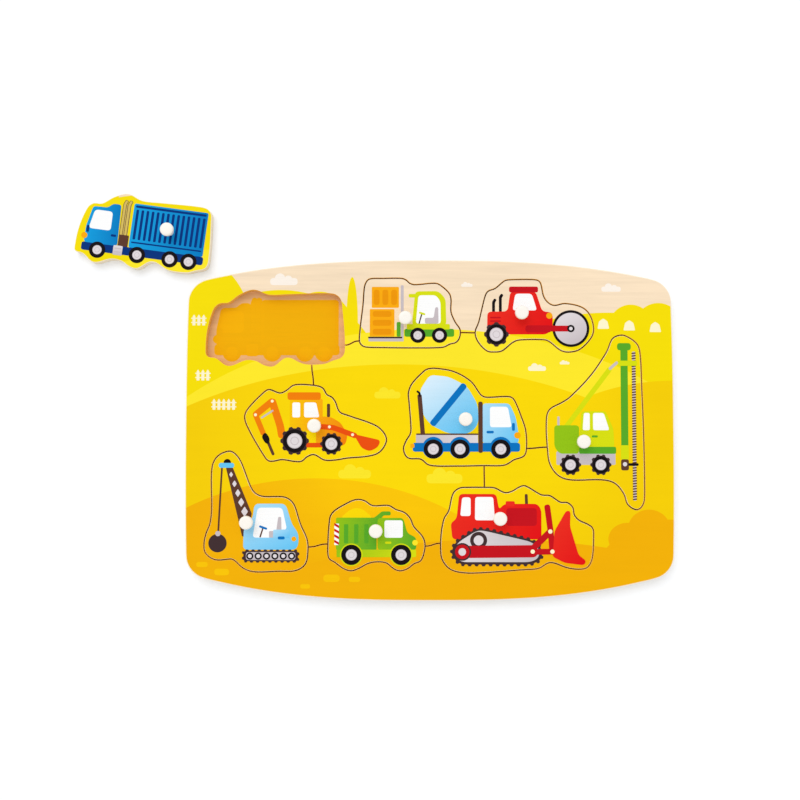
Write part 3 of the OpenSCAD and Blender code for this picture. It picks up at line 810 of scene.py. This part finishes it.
def draw_backhoe(ink):
    """A loader with a breaker on its rear arm."""
    ink.strip("orange", 4.6, (-20.4, -6), (-21.4, 0), (-26.4, 15))
    ink.strip("orange", 4, (-26.4, 15.2), (-36.6, 6.8))
    ink.strip("steel", 1.1, (-32.8, 5), (-26, 9.4))
    ink.strip("orange", 3.2, (-36.6, 6.8), (-31.8, -4.6))
    ink.strip("brown", 1.8, (-28.6, -10.5), (-25.6, -17.4))
    ink.blob("black", 2, (-33, -6.6), (-30.6, -3.6), (-27.8, -7.4), (-28, -11.2), (-30.4, -10.8))
    ink.box("honey", -15.6, -3, 4.6, 16.6, 1.2, fade="gold", way=180)
    ink.blob("orange", 2.4, (0.6, 5.8), (9.4, 5.6), (15.6, 2), (20, -5.6), (18.4, -12), (0.6, -12.2),
             fade="honey", way=160)
    ink.strip("brown", 1.9, (8.2, 6), (8.2, 13))
    ink.box("orange", -17, 16, 3.4, 20.6, 1.5)
    ink.box("white", -14, 5.2, -9.2, 14.4, 1.2)
    ink.blob("white", 1.4, (-6.8, 5.2), (-6.8, 14.4), (0.6, 14.4), (2.6, 5.2))
    ink.box("vermilion", -8, -13.2, 6, -10.4, 0.6)
    ink.strip("vermilion", 3.2, (3, -0.4), (11, -1), (24.6, -6))
    ink.blob("vermilion", 2.2, (23.6, -5), (40.2, -8.8), (38.6, -13), (33.6, -15.6), (28.6, -13.6))
    for across, up in ((-26.4, 15.2), (-36.6, 6.8), (8.8, -0.6), (23, -5.4)):
        ink.disc("cream", across, up, 0.9)
    ink.wheel(-12.5, -9.2, 8.8, 4.7, lugs=10)
    ink.wheel(10, -11, 6.9, 3.7, lugs=10)


def draw_mixer(ink):
    """A concrete mixer."""
    ink.blob("sky", 4, (-27.6, 18), (-21.4, 27.4), (-10, 26.2), (1.4, 20.4), (8, 9), (8.4, -3), (3, -8.8),
             (-10, -8.8), (-21, -3.4), (-26.4, 4), fade="mist", way=120)
    ink.blob("mist", 3, (-27.6, 18), (-21.4, 27.4), (-10, 26.2), (-0.4, 21.4), (-20.4, -3.4), (-26.4, 4),
             fade="ice", way=120)
    ink.strip("royal", 3.9, (-19.6, -2.6), (-0.6, 20.6))
    ink.strip("brown", 2.7, (-27.8, 14.6), (-25.8, -9))
    ink.strip("black", 1.2, (-27.6, 14.2), (-27.8, 16.2), (-29.2, 17.2))
    ink.box("steel", -30, -14.6, 8, -9.2, 0.4, fade="silver", way=0)
    ink.strip("brown", 0.9, (-29.6, -9.1), (8, -9.1))
    ink.blob("sky", 2.4, (10.8, -14.8), (10.8, 9.8), (27.4, 9.8), (31.2, 1.4), (32.8, -8), (33, -14.8),
             fade="mist", way=150)
    ink.blob("white", 1.8, (15.4, -4.8), (15.4, 7.8), (26.4, 7.8), (28.8, -4.8))
    ink.strip("royal", 1.6, (13.8, -7.8), (17.2, -7.8))
    ink.strip("royal", 1.8, (29.8, -2.8), (29.8, -6.4))
    ink.disc("honey", 32.2, -9.8, 2)
    ink.box("royal", -32, -19.8, 33.8, -14.4, 1.6)
    ink.box("honey", -33.4, -17.4, -31, -15, 0.6)
    for across in (-19.4, -3, 22):
        ink.disc("royal", across, -17.4, 6.7)
    ink.strip("brown", 2.7, (9.6, 10), (9.6, -19.6))
    for across in (-19.4, -3, 22):
        ink.wheel(across, -18.2, 5.9, 3.4)


def draw_drill_rig(ink):
    """A drill rig with its mast up."""
    ink.strip("steel", 1.4, (-14.2, 10), (-14.2, 15))
    ink.box("steel", -15.6, -14.2, 20.6, -6, 1)
    ink.strip("lime", 3, (-9.6, 9), (17.4, 44.4))
    ink.strip("steel", 1.8, (17.6, 44.8), (22, 48.6))
    ink.blob("leaf", 2.2, (-16.8, -3), (-16.8, 10), (-1.6, 10), (-1.6, -7.4), (-13.8, -7.4))
    ink.blob("lime", 2, (-1.8, -3.4), (0, 18.6), (14.8, 18.6), (19.4, 8), (20, -3.4))
    ink.box("green", -1.6, -7.4, 21, -3.2, 1)
    ink.blob("white", 1.2, (0.6, 7), (1.4, 17.6), (5, 17.6), (5, 7))
    ink.blob("white", 1.4, (7, 7), (7, 17.6), (13.6, 17.6), (17, 7))
    ink.strip("green", 1.3, (6.6, 3.2), (9.4, 3.2))
    ink.box("green", 24.2, -2.4, 28.6, 57, 0.3)
    ink.box("green", 22.2, 56.2, 30.6, 60.6, 1.8)
    ink.box("lime", 24, -10.8, 28.8, -2.2, 0.8)
    ink.box("brown", 24, -17.6, 28.8, -10.8, 1.4)
    ink.disc("silver", 26.4, -13.8, 1.3)
    ink.box("steel", 31.4, -36, 33.2, 55.4, 0.6)
    for number in range(57):
        up = -35.4 + number * 1.6
        ink.strip("brown", 0.8, (31.2, up), (33.4, up + 0.3))
    ink.box("lime", 22.6, 46.6, 34.4, 49.8, 1)
    ink.strip("black", 1.6, (29, -14), (34.2, -14))
    for across in (-7, 11.6):
        ink.wheel(across, -14.2, 6.5, 3.3, lugs=10)


def draw_crane(ink):
    """A crawler crane with a hanging weight."""
    ink.disc("black", -12.8, 36, 2.3)
    ink.strip("brown", 1.1, (-16, 34), (-18, -6))
    ink.disc("coal", -18.4, -13, 5.6)
    ink.disc("steel", -18.2, -7.2, 1.6)
    ink.blob("brown", 0.6, (-13.6, 33), (-9.4, 33), (2.4, 5), (0, -9), (-3.4, -9), (-6, 2))
    for number in range(5):
        share = number / 4
        across, up, half = -10.4 + 8.4 * share, 28.8 - 22.6 * share, 1.2 + 0.9 * share
        ink.blob("silver", 0.5, (across - half, up), (across, up + 1.5 * half), (across + half, up),
                 (across, up - 1.5 * half))
    ink.strip("sky", 3, (-17, 34.4), (-9.6, 34.4))
    ink.blob("sky", 3, (-2.8, -17), (-2.4, -3.6), (3, 2), (4, 11), (23, 11), (27, -1.6), (31, -7),
             (31, -14), (29, -17), fade="mist", way=120)
    ink.blob("white", 2.2, (3, -9.6), (6, 8.6), (21, 8.6), (24, -4.8), (15.6, -5), (15, -9.6))
    ink.blob("steel", 0.8, (13, -9.6), (13, -5.6), (17.4, -5.6), (18.6, 3), (20.4, 3), (20.8, -9.6))
    ink.blob("sky", 0.8, (15.4, -9.8), (15.6, -4.8), (25.4, -4.6), (25.4, -9.8), fade="mist", way=120)
    ink.strip("brown", 0.9, (7.6, -9.2), (9.4, -3.6))
    ink.strip("royal", 1.3, (7.4, -2.8), (11.4, -4.2))
    ink.strip("royal", 1.8, (19, -9.8), (22, -9.8))
    ink.disc("honey", 28.2, -10.4, 1.5)
    track = [(-3.4, -24.8), (31.6, -24.8), (31.6, -16.8), (-3.4, -16.8)]
    ink.shape("coal", toothed(rounded(track, 2.6), teeth=22, depth=0.9))
    ink.box("steel", -1, -23.2, 29.2, -18.4, 1.6)
    for number in range(6):
        across = 1.4 + number * 5.1
        ink.disc("black", across, -20.8, 2.2)
        ink.disc("silver", across, -20.8, 1.2)


def draw_tipper(ink):
    """A tipper lorry with a heap on it."""
    ink.blob("field", 3, (-22, 7.4), (-14.6, 13.4), (-8.8, 13.4), (-1.6, 7.4))
    ink.blob("green", 1, (-24.4, -12), (-24.4, 7.6), (-1, 7.6), (3.6, 11.4), (9, 11.4), (9, 9), (4.6, 9),
             (0.4, 3), (0.4, -12), fade="leaf", way=160)
    for across in (-18.2, -12, -5.8):
        ink.box("green", across - 1.3, -8, across + 1.3, 3.6, 0.6)
    ink.blob("leaf", 2, (1, -12), (1, 7.4), (16.6, 7.4), (19.2, -1.8), (24.6, -4.6), (24.6, -12),
             fade="green", way=0)
    ink.box("white", 5.2, -4.6, 16.4, 6, 1.6)
    ink.strip("lime", 1.3, (6, -7.6), (9, -7.6))
    ink.disc("light", 23.9, -7.6, 1.7)
    ink.box("lime", -24, -16.4, 24.6, -11.8, 0.8, fade="leaf", way=160)
    ink.box("white", -25.4, -9, -22.6, 4, 0.3)
    for number in range(4):
        up = -7.4 + number * 3.4
        ink.blob("crimson", 0.1, (-25.4, up), (-22.6, up - 1.6), (-22.6, up), (-25.4, up + 1.6))
    for across in (-15, 15.4):
        ink.disc("lime", across, -15, 6.9)
        ink.wheel(across, -15, 6.2, 3.4)


def draw_bulldozer(ink):
    """A bulldozer."""
    ink.strip("brown", 1.8, (16.8, 8), (16.6, 14))
    ink.blob("red", 2.4, (-28.6, -13), (-29.6, -3), (-26, -0.6), (-24.4, 14.6), (-1.8, 14.6), (0, 5),
             (3, 8.6), (23.4, 8.6), (25.8, 5), (25.8, -13), fade="scarlet", way=140)
    ink.box("scarlet", 4, 7, 9.6, 10.2, 1)
    ink.blob("white", 1.6, (-23.8, 1.2), (-22.6, 12.6), (-17.4, 12.6), (-17.4, 1.2))
    ink.blob("white", 1.6, (-14.8, -1.4), (-14.6, 12.8), (-3.6, 12.8), (-2.6, -1.4))
    ink.box("crimson", 4.4, -4.8, 23, 6, 2)
    track = [(-25, -29.4), (-31, -22), (-28, -14), (-15, -5.4), (-8, -5.6), (21, -12.4), (27.4, -18),
             (27, -26), (20, -29.4)]
    ink.shape("coal", toothed(rounded(track, 4), teeth=32, depth=1.2))
    ink.blob("silver", 4, (-24, -26.8), (-28.6, -21), (-25.4, -15), (-13.6, -7.6), (-9, -7.8), (20, -14.6),
             (24.6, -19), (24, -24.4), (19, -26.8), fade="steel", way=0)
    ink.disc("coal", -12.6, -13.6, 5.2)
    ink.disc("silver", -12.6, -13.6, 3)
    ink.strip("crimson", 7.4, (-19, -20.6), (21, -20.2))
    ink.strip("crimson", 3.6, (29.4, 7), (31.4, -8), (32.4, -20.4))
    ink.strip("crimson", 3.8, (20, -19), (31, -8.4))
    ink.strip("crimson", 3.4, (20, -20.6), (32.4, -20.4))
    ink.blob("red", 2, (33.8, -8), (41, 4.4), (43.6, 4.2), (43.2, -5), (48.4, -22.6), (53, -26),
             (51.6, -28.6), (40, -27.2), (32.4, -23.4), fade="scarlet", way=140)
    ink.disc("coal", -22.6, -20.6, 5.4)
    ink.disc("crimson", -22.6, -20.6, 4.4)
    ink.disc("silver", -22.6, -20.6, 2.3)
    for across, up in ((20.4, -20.4), (31.2, -8.2), (32.4, -20.4)):
        ink.disc("cream", across, up, 1.3)


def draw_motifs(ink):
    """Clouds, fences, bushes and stones on the board, in millimetres from its middle."""
    for colour, across, up, width in (
        ("cloud", -90, 89, 17), ("cloud", 23, 88, 7), ("cloud", 112, 85, 12), ("cream", 66, 36, 11),
        ("cream", 83, 40, 6), ("light", -26, 19, 16), ("light", -46, -30, 20), ("light", 9, -33, 22),
    ):
        ink.cloud(colour, across, up, width)
    for across, up, posts in ((-146.8, 64, 3), (-144, 30, 3), (-134, 12, 5)):
        ink.fence("cream", across, up, posts)
    for across, up in ((107, 62), (123, 61), (139, 60)):
        ink.blob("cream", 0.8, (across - 3.6, up), (across + 3.6, up), (across + 2.6, up + 4.6),
                 (across, up + 6.4), (across - 2.6, up + 4.6))
    for across, up, width in ((-139, -84, 7), (-127, -89, 9), (-60, -93, 10), (-46, -93, 7), (-76, -97, 6)):
        ink.box("gold", across - width / 2, up, across + width / 2, up + width * 0.45, width * 0.25)


# For each vehicle the slot of its print, and its drawing
VEHICLES = {
    "truck": ("blue_print", draw_truck),
    "forklift": ("lime_print", draw_forklift),
    "roller": ("red_print", draw_roller),
    "backhoe": ("orange_print", draw_backhoe),
    "mixer": ("sky_print", draw_mixer),
    "drill_rig": ("green_print", draw_drill_rig),
    "crane": ("sky_print", draw_crane),
    "tipper": ("green_print", draw_tipper),
    "bulldozer": ("red_print", draw_bulldozer),
}


def build_films(name, picture, middle, turn, face, film, step, material):
    """The picture's shapes as closed films that start inside the plate's face. The lowest are a film's
    height above it, and a shape lies one step above the highest of the earlier ones whose boxes its own box
    meets."""
    lows, highs, layers = np.empty((0, 2)), np.empty((0, 2)), np.empty(0)
    places, colours, corners, sizes = [], [], [], []
    base = 0
    for outline, shades in picture.shapes:
        low, high = outline.min(axis=0), outline.max(axis=0)
        met = layers[((lows < high) & (highs > low)).all(axis=1)]
        layer = 1 + met.max(initial=-1)
        lows, highs, layers = np.vstack([lows, low]), np.vstack([highs, high]), np.append(layers, layer)
        count = len(outline)
        flat = middle + turned(outline * MM, turn)
        heights = np.repeat([face - film, face + film + layer * step], count)
        places.append(np.column_stack([np.vstack([flat, flat]), heights]))
        colours.append(np.vstack([shades, shades]))
        here = base + np.arange(count)
        corners += [ring_quads(2, count, base), here[::-1], here + count]
        sizes += [np.full(count, 4), [count, count]]
        base += 2 * count
    places, corners, sizes = np.concatenate(places), np.concatenate(corners), np.concatenate(sizes)
    made = new_object(name, places, corners, sizes, 0, [material])
    attribute = made.data.attributes.new("ink", "FLOAT_COLOR", "POINT")
    attribute.data.foreach_set("color", np.column_stack([np.concatenate(colours), np.ones(base)]).ravel())
    return made


def anchor(vehicle):
    """The middle of a vehicle's peg on the board, from its CAD node."""
    low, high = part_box(vehicle + "_peg")
    return np.array([(low.x + high.x) / 2, (low.y + high.y) / 2])


class PEGPUZZLE_OT_boards(Operator):
    """Builds the printed top board and the backing board"""

    bl_idname = "peg_puzzle.boards"
    bl_label = "Boards"

    def execute(self, context):
        plates, inks = context.scene.puzzle_plates, context.scene.puzzle_print
        backing = backing_material("tan_face", plates)
        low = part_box("top_board")[0].z
        clean = edge_material("clean_edge", plates.clean, plates, low)
        # The inner loops of the top board get painted shade: the darker sawn edge wood on the pocket walls
        # and in the saw cuts.
        sawn = edge_material("pocket_shade_edge", plates.sawn, plates, low)
        printed = print_material("landscape", plates, inks)
        sheet_edge = edge_material("sheet_edge", plates.clean, plates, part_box("backing_board")[0].z)
        rim, board_rim = plates.rim, plates.board_rim
        woods = [clean, printed, backing, sawn]
        # The underside of the top board is glued down, so it has little of the map
        board = build_plate("top_board_plate", "top_board", woods, plates, rim, board_rim, underside=0.1)
        woods = [sheet_edge, backing, backing]
        sheet = build_plate("backing_board_plate", "backing_board", woods, plates, board_rim, rim)
        for made, node, slot in (
            (board, "top_board", "board_print"),
            (sheet, "backing_board", "backing_wood"),
        ):
            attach(made, "board")
            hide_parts(node)
        return {"FINISHED"}


class PEGPUZZLE_OT_pieces(Operator):
    """Builds the nine sawn vehicles from the same printed sheet as the board"""

    bl_idname = "peg_puzzle.pieces"
    bl_label = "Vehicle pieces"

    def execute(self, context):
        plates, inks = context.scene.puzzle_plates, context.scene.puzzle_print
        shared = ("tan_face", "clean_edge", "landscape")
        backing, clean, printed = (bpy.data.materials[name] for name in shared)
        truck_edge = edge_material("truck_edge", plates.clean, plates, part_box("truck_piece")[0].z)
        shift = (TRUCK_HOME - turned(anchor("truck"), -TRUCK_TURN)) / MM
        truck_print = print_material("truck_landscape", plates, inks, -TRUCK_TURN, (*shift, 0.0))
        for vehicle, (slot, _) in VEHICLES.items():
            edge, face, rim = clean, printed, plates.rim
            if vehicle == "truck":
                edge, face, rim = truck_edge, truck_print, plates.truck_rim
            piece = vehicle + "_piece"
            made = build_plate(vehicle + "_plate", piece, [edge, face, backing], plates, plates.rim, rim)
            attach(made, vehicle)
            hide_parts(piece)
        return {"FINISHED"}


class PEGPUZZLE_OT_pictures(Operator):
    """Prints the vehicles on their pieces, their shapes in the pockets, and the small motifs on the board"""

    bl_idname = "peg_puzzle.pictures"
    bl_label = "Pictures"

    def execute(self, context):
        inks = context.scene.puzzle_print
        film, material = inks.film, ink_material("ink")
        board_face, sheet_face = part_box("top_board")[1].z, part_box("backing_board")[1].z
        for vehicle, (slot, draw) in VEHICLES.items():
            middle = home = anchor(vehicle)
            turn = 0
            if vehicle == "truck":
                home, turn = TRUCK_HOME, TRUCK_TURN
            picture, shadow = Ink(inks), Ink(inks)
            draw(picture)
            draw(shadow)
            shadow.to_amber()
            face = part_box(vehicle + "_piece")[1].z
            made = build_films(vehicle + "_picture", picture, middle, turn, face, film, film, material)
            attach(made, vehicle)
            made = build_films(vehicle + "_shadow", shadow, home, 0, sheet_face, film, film / 5, material)
            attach(made, "board")
        motifs = Ink(inks)
        draw_motifs(motifs)
        made = build_films("motifs", motifs, np.zeros(2), 0, board_face, film, film, material)
        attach(made, "board")
        return {"FINISHED"}


class PEGPUZZLE_OT_pegs(Operator):
    """Turns the nine white pegs"""

    bl_idname = "peg_puzzle.pegs"
    bl_label = "Pegs"

    def execute(self, context):
        pegs = context.scene.puzzle_pegs
        paint = paint_material("peg_paint", pegs)
        # Radius and height of the section above the piece, in millimetres
        section = np.array([
            (0.0, -0.1), (2.5, -0.1), (2.6, 0.05), (2.6, 0.4), (2.45, 0.65), (2.2, 0.9), (2.1, 1.3),
            (2.08, 2.4), (2.1, 3.9), (2.2, 4.4), (2.5, 4.8), (3.0, 5.02), (3.45, 5.2), (3.8, 5.45),
            (4.05, 5.8), (4.15, 6.3), (4.15, 7.3), (4.06, 7.72), (3.85, 8.08), (3.5, 8.32), (3.05, 8.44),
            (2.4, 8.49), (1.2, 8.5), (0.0, 8.5),
        ]) * MM
        places, corners, sizes = turned_solid(section, pegs.around)
        for vehicle in VEHICLES:
            foot = (*anchor(vehicle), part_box(vehicle + "_piece")[1].z)
            made = new_object(vehicle + "_turned_peg", places + foot, corners, sizes, 0, [paint])
            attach(made, vehicle)
            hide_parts(vehicle + "_peg")
        return {"FINISHED"}


class PEGPUZZLE_OT_stage(Operator):
    """Lays the floor, hangs the soft lamp and sets up the camera"""

    bl_idname = "peg_puzzle.stage"
    bl_label = "Stage"

    def execute(self, context):
        scene, stage = context.scene, context.scene.puzzle_stage
        scene.view_settings.view_transform = "Standard"
        half = stage.floor_size / 2
        paper = Finish("paper", roughness=0.9, specular=0.1)
        seen = paper.node("ShaderNodeLightPath").outputs["Is Camera Ray"]
        fleck = paper.noise(paper.place, 300.0, detail=2.0)
        paper.colour(paper.blend(fleck, rgba(stage.floor), shaded(stage.floor, 0.985)))
        paper.feed(paper.shader.inputs["Emission Color"], (1.0, 1.0, 1.0, 1.0))
        paper.feed(paper.shader.inputs["Emission Strength"], paper.maths("MULTIPLY", seen, stage.glow))
        ends = [(-half, -half, 0), (half, -half, 0), (half, half, 0), (-half, half, 0)]
        floor = new_object("paper_floor", ends, np.arange(4), [4], 0, [paper.material])
        world = bpy.data.worlds.new("studio")
        scene.world = world
        world.use_nodes = True
        sky = Nodes(world.node_tree)
        back = sky.tree.nodes["Background"]
        back.inputs["Color"].default_value = (1.0, 1.0, 1.0, 1.0)
        path = sky.node("ShaderNodeLightPath")
        seen = path.outputs["Is Camera Ray"]
        for kind in ("Is Glossy Ray", "Is Transmission Ray"):
            seen = sky.maths("MAXIMUM", seen, path.outputs[kind])
        level = sky.node("ShaderNodeMix", {0: seen, 2: stage.sky_level, 3: 1.0})
        sky.feed(back.inputs["Strength"], level.outputs[0])
        lamp = bpy.data.objects.new("soft_lamp", bpy.data.lights.new("soft_lamp", "SUN"))
        lamp.data.energy, lamp.data.angle = stage.lamp_level, stage.lamp_spread
        lamp.location = stage.lamp_place
        lamp.rotation_euler = (-lamp.location).to_track_quat("-Z", "Y").to_euler()
        camera = bpy.data.objects.new("camera", bpy.data.cameras.new("camera"))
        camera.location, camera.rotation_euler = stage.camera_place, stage.camera_turn
        camera.data.lens, camera.data.sensor_width = stage.lens, SENSOR_WIDTH
        for made in (lamp, camera):
            scene.collection.objects.link(made)
        scene.camera = camera
        return {"FINISHED"}


class PEGPUZZLE_PT_panel(Panel):
    """Lists the operators and the settings"""

    bl_label = "Peg puzzle"
    bl_idname = "PEGPUZZLE_PT_panel"
    bl_space_type = "VIEW_3D"
    bl_region_type = "UI"
    bl_category = "Peg puzzle"

    def draw(self, context):
        for operator in OPERATORS:
            self.layout.operator(operator.bl_idname)
        for name, group in SETTINGS.items():
            box = self.layout.box()
            box.label(text=group.__doc__)
            for setting in group.__annotations__:
                box.prop(getattr(context.scene, name), setting)


OPERATORS = (
    PEGPUZZLE_OT_boards,
    PEGPUZZLE_OT_pieces,
    PEGPUZZLE_OT_pictures,
    PEGPUZZLE_OT_pegs,
    PEGPUZZLE_OT_stage,
)
SETTINGS = {
    "puzzle_plates": PlateSettings,
    "puzzle_print": PrintSettings,
    "puzzle_pegs": PegSettings,
    "puzzle_stage": StageSettings,
}
CLASSES = (*SETTINGS.values(), *OPERATORS, PEGPUZZLE_PT_panel)


def register():
    for made in CLASSES:
        bpy.utils.register_class(made)
    for name, group in SETTINGS.items():
        setattr(bpy.types.Scene, name, PointerProperty(type=group))


def unregister():
    for name in SETTINGS:
        delattr(bpy.types.Scene, name)
    for made in reversed(CLASSES):
        bpy.utils.unregister_class(made)


def main():
    """Registers the classes, and builds the puzzle and its stage."""
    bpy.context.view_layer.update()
    register()
    bpy.ops.peg_puzzle.boards()
    bpy.ops.peg_puzzle.pieces()
    bpy.ops.peg_puzzle.pictures()
    bpy.ops.peg_puzzle.pegs()
    bpy.ops.peg_puzzle.stage()


if __name__ == "__main__":
    main()
